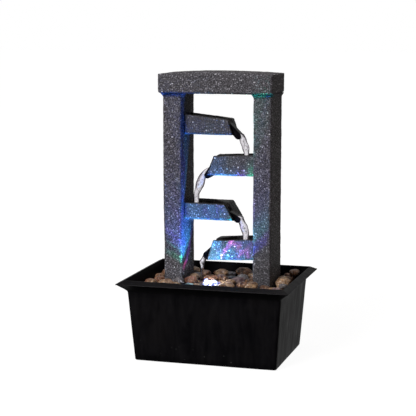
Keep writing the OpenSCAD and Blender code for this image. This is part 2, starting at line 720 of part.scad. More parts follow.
module pump_suction_cups() color([0.16, 0.16, 0.17]) {
    at_cups(floor_z) rotate_extrude() polygon([
        [0, 1.4], [3.6, 0], [5, 0], [4.6, 1], [2.4, 2.6], [2.4, cup_h], [0, cup_h]]);
    cup_stems();
}

// ---- Light ----

module at_light(z) translate([light_x, light_y, z]) children();

module light_housing() color([0.12, 0.12, 0.13]) difference() {
    union() {
        at_light(tray_z + 0.01) cylinder(r = light_r, h = light_z - tray_z);
        at_light(light_foot_z) cylinder(r = lens_r, h = tray_z - light_foot_z + 1);
    }
    at_light(light_foot_z + 2) cylinder(r = light_r - 2 * light_wall, h = light_z);
    at_light(board_z) cylinder(r = lens_r, h = light_z);
    at_light(light_foot_z - 1) cylinder(r = lead_r, h = 4);
}

module light_board() color([0.1, 0.35, 0.18]) at_light(board_z) cylinder(r = lens_r, h = board_t);

module light_emitters() color([0.95, 0.93, 0.7]) at_light(board_z + board_t + emitter[2] / 2)
    for (k = [0:emitters - 1]) rotate([0, 0, k * 360 / emitters])
        translate([emitter_ring, 0, 0]) cube(emitter, center = true);

module light_seal() color([0.1, 0.1, 0.1]) at_light(light_z - lens_t - seal_h)
    ring(lens_r, lens_r - 1.4, seal_h);

// A clear lens with a shallow dome
module light_lens() color([0.95, 0.97, 1, 0.6]) {
    dome_r = (lens_r * lens_r + lens_dome * lens_dome) / (2 * lens_dome);
    at_light(0) intersection() {
        translate([0, 0, light_z - lens_t]) cylinder(r = lens_r, h = lens_t + lens_dome + 1);
        translate([0, 0, light_z + lens_dome - dome_r]) sphere(dome_r);
    }
}

// The light's lead: down, back under the tray, across to the pump and down into its block
module light_lead() color([0.05, 0.05, 0.05]) {
    bend_z = lead_z + lead_bend;
    drop_z = lead_z - lead_bend;
    inlet_z = pump_top - lead_in;
    translate([light_x, light_y, bend_z]) cylinder(r = lead_r, h = light_foot_z + 2 - bend_z);
    lead_elbow([light_x, light_y + lead_bend, bend_z], [0, -1, 0], [0, 0, -1]);
    translate([light_x, 0, lead_z]) along_y(light_y + lead_bend)
        cylinder(r = lead_r, h = lead_back_y - light_y - 2 * lead_bend);
    lead_elbow([light_x - lead_bend, lead_back_y - lead_bend, lead_z], [1, 0, 0], [0, 1, 0]);
    translate([lead_in_x + lead_bend, lead_back_y, lead_z]) rotate([0, 90, 0])
        cylinder(r = lead_r, h = light_x - lead_in_x - 2 * lead_bend);
    lead_elbow([lead_in_x + lead_bend, lead_back_y, drop_z], [0, 0, 1], [-1, 0, 0]);
    translate([lead_in_x, lead_back_y, inlet_z]) cylinder(r = lead_r, h = drop_z - inlet_z);
}

// A quarter bend of the lead about the point at, from the direction u to the direction v
module lead_elbow(at, u, v) {
    w = cross(u, v);
    multmatrix([[u[0], v[0], w[0], at[0]], [u[1], v[1], w[1], at[1]], [u[2], v[2], w[2], at[2]]])
        rotate_extrude(angle = 90) translate([lead_bend, 0]) circle(lead_r);
}

// ---- Assembly ----

basin();
foot_pads();
cable_gland();
tray();
pebbles_tan();
pebbles_brown();
pebbles_russet();
pebbles_grey();
pebbles_plum();
pebbles_slate();
pebble_teal();
left_post();
right_post();
cap();
ledge_1();
ledge_2();
ledge_3();
ledge_4();
spout_1();
spout_2();
spout_3();
spout_4();
riser_tube();
outlet_elbow();
pump_motor_block();
stator_core();
stator_coil();
pump_cover();
pump_seal_ring();
pump_grille();
pump_suction_cups();
rotor_shaft();
shaft_bushings();
rotor_magnet();
impeller();
flow_slide();
light_housing();
light_board();
light_emitters();
light_seal();
light_lens();
light_lead();
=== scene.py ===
"""Looks of the tabletop water fountain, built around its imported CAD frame. Lengths here are metres."""
import math
import random

import bmesh
import bpy
import numpy as np
from mathutils import Euler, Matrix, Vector, noise


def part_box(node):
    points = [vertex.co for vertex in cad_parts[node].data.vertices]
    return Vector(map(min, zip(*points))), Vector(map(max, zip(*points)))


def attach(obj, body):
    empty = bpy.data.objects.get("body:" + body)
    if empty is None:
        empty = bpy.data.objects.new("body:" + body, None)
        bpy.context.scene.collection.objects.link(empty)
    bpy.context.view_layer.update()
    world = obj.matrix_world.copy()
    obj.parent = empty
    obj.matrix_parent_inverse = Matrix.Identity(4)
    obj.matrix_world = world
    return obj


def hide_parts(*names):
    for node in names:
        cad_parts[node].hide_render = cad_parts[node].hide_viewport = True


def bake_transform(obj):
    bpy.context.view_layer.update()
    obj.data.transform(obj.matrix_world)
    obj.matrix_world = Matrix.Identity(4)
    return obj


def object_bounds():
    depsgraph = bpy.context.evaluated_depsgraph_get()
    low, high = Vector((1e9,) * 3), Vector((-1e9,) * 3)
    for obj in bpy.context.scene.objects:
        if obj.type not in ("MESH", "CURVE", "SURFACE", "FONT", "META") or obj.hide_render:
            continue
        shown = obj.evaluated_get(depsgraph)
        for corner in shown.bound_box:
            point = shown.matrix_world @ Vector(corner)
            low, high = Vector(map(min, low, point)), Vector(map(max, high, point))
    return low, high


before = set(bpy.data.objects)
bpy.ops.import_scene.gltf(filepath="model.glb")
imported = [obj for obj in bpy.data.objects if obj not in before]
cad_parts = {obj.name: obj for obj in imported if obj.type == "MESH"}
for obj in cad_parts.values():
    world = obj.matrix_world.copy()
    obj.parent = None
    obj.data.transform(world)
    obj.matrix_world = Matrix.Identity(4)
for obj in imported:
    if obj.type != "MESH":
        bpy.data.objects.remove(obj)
CAD_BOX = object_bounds()
MM = 0.001

# ---- Named places, from the frame ----

basin_low, basin_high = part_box("basin")
lens_low, lens_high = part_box("light_lens")
left_low, left_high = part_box("left_post")
tray_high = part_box("tray")[1]
LAMP = Vector(((lens_low.x + lens_high.x) / 2, (lens_low.y + lens_high.y) / 2, lens_high.z))

# The body's taper and the rim, which the basin's own box doesn't give
BODY_TOP_Z = 86.5 * MM
BODY_INSET = 11 * MM       # the body under the rim is this far inside the rim's edge
BASE_INSET = 17.5 * MM     # the base is this far inside the rim's edge
RIM_DROP = 4 * MM          # the rim's edge lies this far under the ridge
RIDGE_IN = 7.2 * MM
RIDGE_T = 1.4 * MM
WALL = 2.6 * MM
FLOOR_T = 3 * MM
CORNER_R = 3 * MM
LIP_W = 12 * MM            # a spout's lip, from the front of the trough


# ---- Camera, light and floor ----

def make_camera():
    """Seen from the front, slightly from the right and from above, with a long lens."""
    data = bpy.data.cameras.new("camera")
    data.sensor_width = 36
    data.lens = 111.37
    data.clip_start, data.clip_end = 0.05, 20
    camera = bpy.data.objects.new("camera", data)
    bpy.context.collection.objects.link(camera)
    camera.location = (0.42378, -1.48574, 0.40539)
    camera.rotation_euler = Euler((math.radians(90 - 8.29), 0, math.radians(16.43)))
    bpy.context.scene.camera = camera


def make_world():
    """A white studio: what is seen directly is white, and the light that falls on things is softer."""
    world = bpy.data.worlds.new("studio")
    bpy.context.scene.world = world
    world.use_nodes = True
    tree = world.node_tree
    tree.nodes.clear()
    out = tree.nodes.new("ShaderNodeOutputWorld")
    seen = tree.nodes.new("ShaderNodeBackground")
    seen.inputs["Color"].default_value = (1, 1, 1, 1)
    seen.inputs["Strength"].default_value = 1.0
    cast = tree.nodes.new("ShaderNodeBackground")
    cast.inputs["Color"].default_value = (1, 0.98, 0.97, 1)
    cast.inputs["Strength"].default_value = 0.035
    mirrored = tree.nodes.new("ShaderNodeBackground")
    heading = tree.nodes.new("ShaderNodeSeparateXYZ")
    tree.links.new(tree.nodes.new("ShaderNodeTexCoord").outputs["Generated"], heading.inputs[0])
    behind = tree.nodes.new("ShaderNodeMapRange")
    behind.inputs["From Min"].default_value = -0.2
    behind.inputs["From Max"].default_value = 0.9
    behind.inputs["To Min"].default_value = 0.05
    behind.inputs["To Max"].default_value = 0.34
    tree.links.new(heading.outputs["Y"], behind.inputs["Value"])
    tree.links.new(behind.outputs["Result"], mirrored.inputs["Strength"])
    path = tree.nodes.new("ShaderNodeLightPath")
    straight = tree.nodes.new("ShaderNodeMath")
    straight.operation = "MAXIMUM"
    tree.links.new(path.outputs["Is Camera Ray"], straight.inputs[0])
    tree.links.new(path.outputs["Is Transmission Ray"], straight.inputs[1])
    soft = tree.nodes.new("ShaderNodeMixShader")
    tree.links.new(path.outputs["Is Glossy Ray"], soft.inputs[0])
    tree.links.new(cast.outputs[0], soft.inputs[1])
    tree.links.new(mirrored.outputs[0], soft.inputs[2])
    mix = tree.nodes.new("ShaderNodeMixShader")
    tree.links.new(straight.outputs[0], mix.inputs[0])
    tree.links.new(soft.outputs[0], mix.inputs[1])
    tree.links.new(seen.outputs[0], mix.inputs[2])
    tree.links.new(mix.outputs[0], out.inputs["Surface"])


def area_light(name, at, aim, size, power, colour=(1, 1, 1)):
    data = bpy.data.lights.new(name, "AREA")
    data.shape = "SQUARE"
    data.size = size
    data.energy = power
    data.color = colour
    lamp = bpy.data.objects.new(name, data)
    bpy.context.collection.objects.link(lamp)
    lamp.location = at
    lamp.rotation_euler = (Vector(aim) - Vector(at)).to_track_quat("-Z", "Y").to_euler()


def make_studio():
    middle = (0, 0, 0.18)
    area_light("key", (-0.6, -1.6, 1.15), middle, 0.8, 38, (1, 0.98, 1))
    area_light("side", (1.6, 0.1, 0.5), middle, 0.8, 1.9, (1, 0.86, 0.76))
    area_light("top", (0.1, 0.3, 1.6), middle, 0.8, 5, (1, 0.94, 0.9))


def make_floor():
    bpy.ops.mesh.primitive_plane_add(size=30, location=(0, 0, 0))
    floor = bpy.context.object
    floor.name = "floor"
    m = Finish("floor_white", (0.12, 0.12, 0.12), roughness=0.9)
    m.set("Specular IOR Level", 0)
    m.set("Emission Color", (1, 1, 1, 1))
    reach = m.node("VectorMath", {0: m.place}, operation="LENGTH").outputs["Value"]
    m.link(m.steps(reach, 0.25, 0.9, 0.955, 1.0), "Emission Strength")
    floor.data.materials.append(m.material)
    floor.visible_diffuse = False
    floor.visible_glossy = False


# ---- Materials ----

class Finish:
    """A Principled material whose colour, roughness and bump can be fed by procedural nodes."""

    def __init__(self, name, colour=(0.5, 0.5, 0.5), roughness=0.5, metallic=0.0):
        self.material = bpy.data.materials.new(name)
        self.material.use_nodes = True
        self.tree = self.material.node_tree
        self.shader = self.tree.nodes["Principled BSDF"]
        self.set("Base Color", (*colour, 1))
        self.set("Roughness", roughness)
        self.set("Metallic", metallic)
        self.place = self.tree.nodes.new("ShaderNodeTexCoord").outputs["Object"]

    def set(self, socket, value):
        self.shader.inputs[socket].default_value = value

    def link(self, output, socket):
        self.tree.links.new(output, self.shader.inputs[socket])

    def node(self, kind, inputs=(), **values):
        made = self.tree.nodes.new("ShaderNode" + kind)
        for key, value in values.items():
            setattr(made, key, value)
        for key, value in dict(inputs).items():
            if isinstance(value, bpy.types.NodeSocket):
                self.tree.links.new(value, made.inputs[key])
            else:
                made.inputs[key].default_value = value
        return made

    def noise(self, size, detail=2.0, rough=0.5, distort=0.0, where=None):
        """Noise whose features are about size metres across."""
        made = self.node("TexNoise", {"Vector": where or self.place, "Scale": 1 / size, "Detail": detail,
                                      "Roughness": rough, "Distortion": distort})
        return made.outputs["Fac"]

    def cells(self, size):
        made = self.node("TexVoronoi", {"Vector": self.place, "Scale": 1 / size}, feature="F1")
        return made.outputs["Distance"], made.outputs["Color"]

    def ramp(self, value, stops):
        made = self.node("ValToRGB", {"Fac": value})
        made.color_ramp.interpolation = "LINEAR"
        points = made.color_ramp.elements
        while len(points) < len(stops):
            points.new(0.5)
        for point, (at, colour) in zip(points, stops):
            point.position = at
            point.color = (*colour, 1) if len(colour) == 3 else colour
        return made.outputs["Color"]

    def steps(self, value, low, high, to_low=0.0, to_high=1.0):
        made = self.node("MapRange", {"Value": value, "From Min": low, "From Max": high,
                                      "To Min": to_low, "To Max": to_high})
        return made.outputs["Result"]

    def maths(self, operation, a, b):
        return self.node("Math", {0: a, 1: b}, operation=operation).outputs[0]

    def mix(self, share, a, b, blend="MIX"):
        made = self.node("Mix", data_type="RGBA", blend_type=blend)
        for socket, value in ((made.inputs["Factor"], share), (made.inputs[6], a), (made.inputs[7], b)):
            if isinstance(value, bpy.types.NodeSocket):
                self.tree.links.new(value, socket)
            else:
                socket.default_value = value if isinstance(value, float) else (*value, 1)
        return made.outputs[2]

    def bump(self, height, depth, strength=1.0):
        made = self.node("Bump", {"Height": height, "Distance": depth, "Strength": strength})
        self.link(made.outputs["Normal"], "Normal")

    def stretched(self, x, y, z):
        """Object coordinates scaled by x, y and z, for grain that runs one way."""
        return self.node("Mapping", {"Vector": self.place, "Scale": (x, y, z)}).outputs["Vector"]


def granite_finish():
    """Cast resin that looks like dark granite: coarse dark grains, pale flecks and a few bright ones.
    Where the attribute "wet" is 1, it is darker and shines: darkened by water, and painted shade on the left
    post's inner face and in the ledges' troughs."""
    m = Finish("granite", roughness=0.72)
    grain = m.noise(1.5 * MM, detail=3, rough=0.7)
    base = m.ramp(grain, [(0.36, (0.012, 0.011, 0.013)), (0.48, (0.04, 0.038, 0.043)),
                          (0.56, (0.095, 0.091, 0.103)), (0.68, (0.27, 0.26, 0.29))])
    patches = m.noise(24 * MM, detail=3)
    base = m.mix(m.steps(patches, 0.4, 0.7, 0.0, 0.45), base, (0.8, 0.72, 0.7), "MULTIPLY")
    near, tone = m.cells(2.6 * MM)
    picked = m.node("SeparateColor", {"Color": tone})
    fleck = m.maths("MULTIPLY", m.steps(near, 0.36, 0.22), m.steps(picked.outputs[0], 0.6, 0.68))
    base = m.mix(fleck, base, (0.34, 0.33, 0.36))
    near, tone = m.cells(6 * MM)
    picked = m.node("SeparateColor", {"Color": tone})
    bright = m.maths("MULTIPLY", m.steps(near, 0.17, 0.1), m.steps(picked.outputs[1], 0.5, 0.55))
    base = m.mix(bright, base, (0.9, 0.9, 0.95))
    wet = m.node("Attribute", attribute_name="wet").outputs["Fac"]
    # darker where "wet" is set: water darkening, and painted shade
    base = m.mix(wet, base, m.ramp(grain, [(0.5, (0.004, 0.0035, 0.0035)), (0.66, (0.03, 0.024, 0.022))]))
    m.link(base, "Base Color")
    m.link(m.mix(wet, m.ramp(grain, [(0.3, (0.82,) * 3), (0.8, (0.5,) * 3)]), (0.3, 0.3, 0.3)), "Roughness")
    m.link(m.steps(wet, 0.5, 1.0, 0.5, 0.12), "Specular IOR Level")
    m.bump(m.maths("ADD", m.noise(0.9 * MM, 3, 0.7), grain), 0.6 * MM, 0.8)
    return m.material


def basin_finish():
    """Black moulded plastic with faint flow marks and small scuffs near the base."""
    m = Finish("basin_plastic", (0.004, 0.0035, 0.0045), roughness=0.42)
    m.set("IOR", 1.3)
    inner = m.node("Attribute", attribute_name="inner").outputs["Fac"]
    m.link(m.steps(inner, 0.0, 1.0, 0.36, 0.03), "Specular IOR Level")
    flow = m.noise(9 * MM, 4, 0.6, 0.6, m.stretched(1, 1, 0.22))
    haze = m.noise(40 * MM, 3, 0.6)
    base = m.ramp(flow, [(0.35, (0.002, 0.0018, 0.0025)), (0.7, (0.005, 0.0045, 0.0055))])
    base = m.mix(m.steps(haze, 0.5, 0.8, 0.0, 0.5), base, (0.007, 0.006, 0.006))
    near = m.cells(7 * MM)[0]
    low = m.steps(m.node("SeparateXYZ", {"Vector": m.place}).outputs["Z"], 0.03, 0.008)
    scuff = m.maths("MULTIPLY", m.steps(near, 0.1, 0.05), low)
    base = m.mix(scuff, base, (0.08, 0.08, 0.08))
    m.link(base, "Base Color")
    m.link(m.steps(flow, 0.3, 0.75, 0.34, 0.55), "Roughness")
    m.bump(m.maths("ADD", flow, m.noise(1.2 * MM, 3, 0.6)), 0.12 * MM, 0.5)
    return m.material


def gloss_finish():
    """Wet glossy black enamel of the spouts."""
    m = Finish("spout_gloss", (0.003, 0.003, 0.004), roughness=0.16)
    m.set("IOR", 1.3)
    m.set("Specular IOR Level", 0.22)
    tone = m.ramp(m.noise(3 * MM, 3), [(0.4, (0.002, 0.002, 0.003)), (0.7, (0.008, 0.007, 0.008))])
    m.link(tone, "Base Color")
    m.link(m.steps(m.noise(2 * MM, 2), 0.3, 0.7, 0.08, 0.2), "Roughness")
    m.bump(m.noise(2.5 * MM, 2), 0.15 * MM, 0.6)
    return m.material


def moulded_finish(name, colour, roughness=0.5, grain=0.4 * MM, depth=0.03 * MM):
    """Plain moulded plastic or rubber with a fine grain."""
    m = Finish(name, colour, roughness)
    fine = m.noise(grain, 3, 0.6)
    lighter = tuple(min(1, c * 1.35 + 0.003) for c in colour)
    m.link(m.ramp(fine, [(0.35, colour), (0.75, lighter)]), "Base Color")
    m.link(m.steps(fine, 0.3, 0.7, roughness - 0.06, roughness + 0.08), "Roughness")
    m.bump(fine, depth, 0.6)
    return m.material


def metal_finish(name, colour, roughness, line=0.5 * MM):
    """Bare metal with lines along Y: laminations or turns of wire."""
    m = Finish(name, colour, roughness, metallic=1.0)
    lines = m.noise(line, 1, 0.5, 0.0, m.stretched(0.05, 1, 0.05))
    darker = tuple(c * 0.6 for c in colour)
    m.link(m.ramp(lines, [(0.4, darker), (0.6, colour)]), "Base Color")
    m.bump(lines, 0.1 * MM, 0.8)
    return m.material


def stone_finish(name, dark, mid, light, vein, roughness=0.34):
    """A river pebble: banded and mottled, each stone in its own shade, and slightly wet."""
    m = Finish(name, mid, roughness)
    shade = m.node("Attribute", attribute_name="stone_shade").outputs["Fac"]
    shift = m.node("CombineXYZ", {"X": m.maths("MULTIPLY", shade, 0.31), "Y": shade, "Z": 0.0}).outputs[0]
    where = m.node("VectorMath", {0: m.place, 1: shift}, operation="ADD").outputs[0]
    mottle = m.noise(5 * MM, 5, 0.62, 0.8, where)
    base = m.ramp(mottle, [(0.36, dark), (0.49, mid), (0.64, light)])
    bands = m.node("TexWave", {"Vector": where, "Scale": 60.0, "Distortion": 9.0, "Detail": 3.0,
                               "Detail Scale": 1.6}).outputs["Fac"]
    base = m.mix(m.steps(bands, 0.72, 0.96, 0.0, 0.4), base, vein)
    base = m.mix(m.steps(shade, 0.0, 1.0, 0.0, 0.4), base, tuple(c * 0.42 for c in dark))
    speck = m.noise(0.7 * MM, 3, 0.7, 0.0, where)
    base = m.mix(m.steps(speck, 0.6, 0.75, 0.0, 0.35), base, tuple(c * 0.5 for c in dark))
    seam = m.noise(6 * MM, 3, 0.6, 1.6, where)
    cracks = m.maths("MULTIPLY", m.steps(seam, 0.47, 0.495), m.steps(seam, 0.53, 0.505))
    base = m.mix(m.maths("MULTIPLY", cracks, 0.8), base, tuple(c * 0.35 for c in dark))
    m.link(base, "Base Color")
    m.link(m.steps(mottle, 0.3, 0.7, roughness - 0.08, roughness + 0.12), "Roughness")
    m.set("Coat Weight", 0.35)
    m.set("Coat Roughness", 0.16)
    rough_skin = m.maths("ADD", speck, m.noise(2.2 * MM, 3, 0.6, 0.0, where))
    m.bump(m.maths("SUBTRACT", rough_skin, cracks), 0.35 * MM, 0.8)
    return m.material


def water_finish():
    """Running water, painted: a pale painted glow in the middle of the stream and painted shade where its
    edges bend the light.
    The attribute "rim" paints more shade along one edge. Where "clear" is 1, the stream has no air in it and
    almost no painted glow."""
    m = Finish("water", roughness=0.08)
    m.set("IOR", 1.33)
    streaks = m.noise(2.4 * MM, 3, 0.6, 0.8, m.stretched(1, 1, 0.3))
    edge = m.node("LayerWeight", {"Blend": 0.5}).outputs["Facing"]
    bent = m.maths("ADD", edge, m.maths("MULTIPLY", m.maths("SUBTRACT", streaks, 0.5), 0.5))
    clear = m.node("Attribute", attribute_name="clear").outputs["Fac"]
    # the painted glow, going over into painted shade towards the edges
    pale = m.ramp(bent, [(0.0, (0.72, 0.7, 0.73)), (0.26, (0.6, 0.57, 0.61)), (0.34, (0.3, 0.27, 0.3)),
                         (0.46, (0.02, 0.018, 0.022))])
    # thin dark curls painted into the glow as painted shade
    curls = m.noise(5 * MM, 1, 0.5, 2.0)
    line = m.maths("MULTIPLY", m.steps(curls, 0.54, 0.56), m.steps(curls, 0.63, 0.61))
    pale = m.mix(m.maths("MULTIPLY", line, 0.7), pale, (0.05, 0.045, 0.05))
    # painted shade along one edge
    rim = m.node("Attribute", attribute_name="rim").outputs["Fac"]
    pale = m.mix(rim, pale, (0.012, 0.011, 0.014))
    m.link(m.mix(clear, m.mix(0.8, pale, (0, 0, 0)), (0.5, 0.5, 0.55)), "Base Color")
    # the pale colour is emitted: a painted glow
    m.link(pale, "Emission Color")
    m.link(m.steps(clear, 0.0, 1.0, 0.86, 0.02), "Emission Strength")
    m.link(clear, "Transmission Weight")
    m.bump(streaks, 0.3 * MM, 0.6)
    return m.material


def lens_finish(name="lens_glow"):
    """The lit lens, or the water that wells up over it, where the glow is painted light: white glow with blue
    and violet edges.
    """
    m = Finish(name, (0.1, 0.12, 0.16), roughness=0.15)
    from_lamp = m.node("VectorMath", {0: m.place, 1: LAMP}, operation="DISTANCE").outputs["Value"]
    strength = m.maths("ADD", m.noise(6 * MM, 3, 0.6, 0.8), m.steps(from_lamp, 4 * MM, 13 * MM, 0.075, -0.14))
    glow = m.ramp(strength, [(0.36, (0.01, 0.014, 0.05)), (0.42, (0.08, 0.06, 0.5)), (0.47, (0.3, 0.45, 1.0)),
                             (0.51, (1.0, 1.0, 1.0))])
    m.link(glow, "Emission Color")
    m.set("Emission Strength", 1.9)
    return m.material


def tube_finish():
    m = Finish("silicone", (0.8, 0.83, 0.85), roughness=0.25)
    m.set("Transmission Weight", 0.6)
    m.link(m.steps(m.noise(6 * MM, 2), 0.3, 0.7, 0.2, 0.32), "Roughness")
    return m.material


# ---- Mesh helpers ----

def add_object(name, mesh, material, body, replaced=()):
    """Links a piece, gives it its material and lets it ride on its body."""
    made = bpy.data.objects.new(name, mesh)
    bpy.context.collection.objects.link(made)
    mesh.materials.clear()
    mesh.materials.append(material)
    if body:
        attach(made, body)
    if replaced:
        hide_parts(*replaced)
    return made


def baked(mesh, *modifiers):
    """A copy of mesh with modifiers applied; each is (type, {setting: value})."""
    holder = bpy.data.objects.new("holder", mesh.copy())
    bpy.context.collection.objects.link(holder)
    for kind, settings in modifiers:
        modifier = holder.modifiers.new(kind.lower(), kind)
        for key, value in settings.items():
            setattr(modifier, key, value)
    graph = bpy.context.evaluated_depsgraph_get()
    made = bpy.data.meshes.new_from_object(holder.evaluated_get(graph))
    bpy.data.objects.remove(holder)
    return made


def read_points(mesh):
    points = np.zeros(len(mesh.vertices) * 3)
    mesh.vertices.foreach_get("co", points)
    return points.reshape(-1, 3)


def read_normals(mesh):
    normals = np.zeros(len(mesh.vertices) * 3)
    mesh.vertices.foreach_get("normal", normals)
    return normals.reshape(-1, 3)


def write_points(mesh, points):
    mesh.vertices.foreach_set("co", np.ascontiguousarray(points).ravel())
    mesh.update()


def smooth(mesh):
    mesh.polygons.foreach_set("use_smooth", [True] * len(mesh.polygons))
    return mesh


def mesh_from(name, points, faces):
    mesh = bpy.data.meshes.new(name)
    mesh.from_pydata([tuple(p) for p in points], [], faces)
    mesh.update()
    return mesh


# ---- Granite tower ----

def uneven(points, spans):
    """Sums of noise at each point; spans are (size in metres, amplitude)."""
    return np.array([sum(noise.noise(Vector(p) / size) * depth for size, depth in spans) for p in points])


def rough_cast(node, voxel, body, material, warp=None, wet=None):
    """The CAD node with worn edges and a rough cast surface, kept inside the whole object's box."""
    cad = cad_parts[node].data
    mesh = baked(cad, ("REMESH", {"mode": "VOXEL", "voxel_size": voxel}),
                 ("SMOOTH", {"factor": 0.5, "iterations": 2}))
    points = read_points(mesh)
    rest = points.copy()
    depth = uneven(points, [(2.2 * MM, 0.22 * MM), (8 * MM, 0.2 * MM), (40 * MM, 0.3 * MM)]) + 0.12 * MM
    points += read_normals(mesh) * depth[:, None]
    if warp:
        points = warp(points)
    write_points(mesh, np.clip(points, np.array(CAD_BOX[0]), np.array(CAD_BOX[1])))
    share = wet(rest) if wet else np.zeros(len(points))
    mesh.attributes.new("wet", "FLOAT", "POINT").data.foreach_set("value", share.astype(np.float32))
    add_object("granite_" + node, smooth(mesh), material, body, [node])


def ease(value, low, high):
    """0 below low, 1 above high and smooth between them; low may be the larger one."""
    t = np.clip((value - low) / (high - low), 0, 1)
    return t * t * (3 - 2 * t)


def bulged(points):
    """The left post's outer side swells a little at half height."""
    out = points.copy()
    swell = ease(points[:, 2], 0.12, 0.2) * ease(points[:, 0], left_high.x, left_low.x)
    out[:, 0] -= 1.1 * MM * swell
    return out


def slumped(points):
    """The whole cap sits a little to the left of its place in the frame."""
    out = points.copy()
    out[:, 0] -= 0.7 * MM
    return out


def painted_shade_inside(points):
    """Painted shade on the left post's inner face, and a darker painted shadow under a slanting line."""
    x, y, z = points.T
    # the slanting edge of the painted shadow
    line = 101 * MM + (y - 2 * MM) * 1.18
    face = ease(x, left_high.x - 1.4 * MM, left_high.x - 0.6 * MM)
    # half painted shade over the whole inner face, full painted shadow under the line
    return face * (0.5 + 0.5 * ease(z, line + 3 * MM, line - 3 * MM))


def darker_foot(points):
    """The lower part of the right post is darker and glossier, in two steps towards the bottom."""
    return 0.2 * ease(points[:, 2], 0.19, 0.15) + 0.22 * ease(points[:, 2], 0.128, 0.1)


def wetness(ledge):
    """Where water has darkened a ledge, in the trough also as painted shade: its top, the trough and the
    slanted end under the spout.
    """
    low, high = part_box(f"ledge_{ledge}")
    spout_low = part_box(f"spout_{ledge}")[0]
    side = 1 if ledge % 2 else -1

    def share(points):
        x, y, z = points.T
        end = high.x if side > 0 else -low.x
        drop = (high.z - z) / (high.z - low.z)
        face = side * x - (end - SLANT[ledge - 1] * MM * (1 - drop))
        top_z = high.z - FALL[ledge - 1] * MM * ease_line(side * x, -POST_IN, end)
        ragged = uneven(points, [(3 * MM, 0.7 * MM)])
        on_end = ease(face + ragged, -2.6 * MM, -1.4 * MM)
        on_top = ease(z + ragged * 0.6, top_z - 1.0 * MM, top_z - 0.5 * MM)
        # the trough: darkened as wet, and as painted shade
        inside = (y > low.y + 1.2 * MM) & (y < high.y - 1.2 * MM) & (z > spout_low.z) & (z > top_z - 10 * MM)
        return np.maximum(np.maximum(on_end, on_top), np.maximum(inside * 1.0, DAMP[ledge - 1]))

    return share


def ease_line(value, low, high):
    return np.clip((value - low) / (high - low), 0, 1)


# How far each ledge's slanted end leans and its top falls towards the end, in millimetres
SLANT = (6.4, 9.1, 12.1, 8.6)
FALL = (5.9, 2.5, 0.6, 3.3)
# How damp the rest of each ledge is
DAMP = (0.44, 0.1, 0.2, 0.1)
POST_IN = -left_high.x


def make_tower():
    granite = granite_finish()
    rough_cast("left_post", 1.1 * MM, "tower", granite, bulged, painted_shade_inside)
    rough_cast("right_post", 1.1 * MM, "tower", granite, wet=darker_foot)
    rough_cast("cap", 1.1 * MM, "tower", granite, slumped)
    for k in range(1, 5):
        rough_cast(f"ledge_{k}", 0.9 * MM, "tower", granite, wet=wetness(k))
    gloss = gloss_finish()
    for k in range(1, 5):
        mesh = baked(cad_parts[f"spout_{k}"].data,
                     ("REMESH", {"mode": "VOXEL", "voxel_size": 0.55 * MM}),
                     ("SMOOTH", {"factor": 0.5, "iterations": 4}))
        add_object(f"gloss_spout_{k}", smooth(mesh), gloss, "tower", [f"spout_{k}"])


# ---- Basin ----

def rounded_loop(half_w, half_d, z, r, per_corner=6):
    """Points round a rectangle with round corners, anticlockwise."""
    points = []
    for corner, (sx, sy) in enumerate(((1, 1), (-1, 1), (-1, -1), (1, -1))):
        for k in range(per_corner + 1):
            turn = math.radians(90 * corner + 90 * k / per_corner)
            points.append((sx * (half_w - r) + r * math.cos(turn), sy * (half_d - r) + r * math.sin(turn), z))
    return points


def loft(name, loops):
    """A skin over loops of the same number of points, closed at both ends."""
    n = len(loops[0])
    points = [p for loop in loops for p in loop]
    faces = [(i * n + k, i * n + (k + 1) % n, (i + 1) * n + (k + 1) % n, (i + 1) * n + k)
             for i in range(len(loops) - 1) for k in range(n)]
    faces.append(tuple(reversed(range(n))))
    faces.append(tuple(range((len(loops) - 1) * n, len(loops) * n)))
    return mesh_from(name, points, faces)


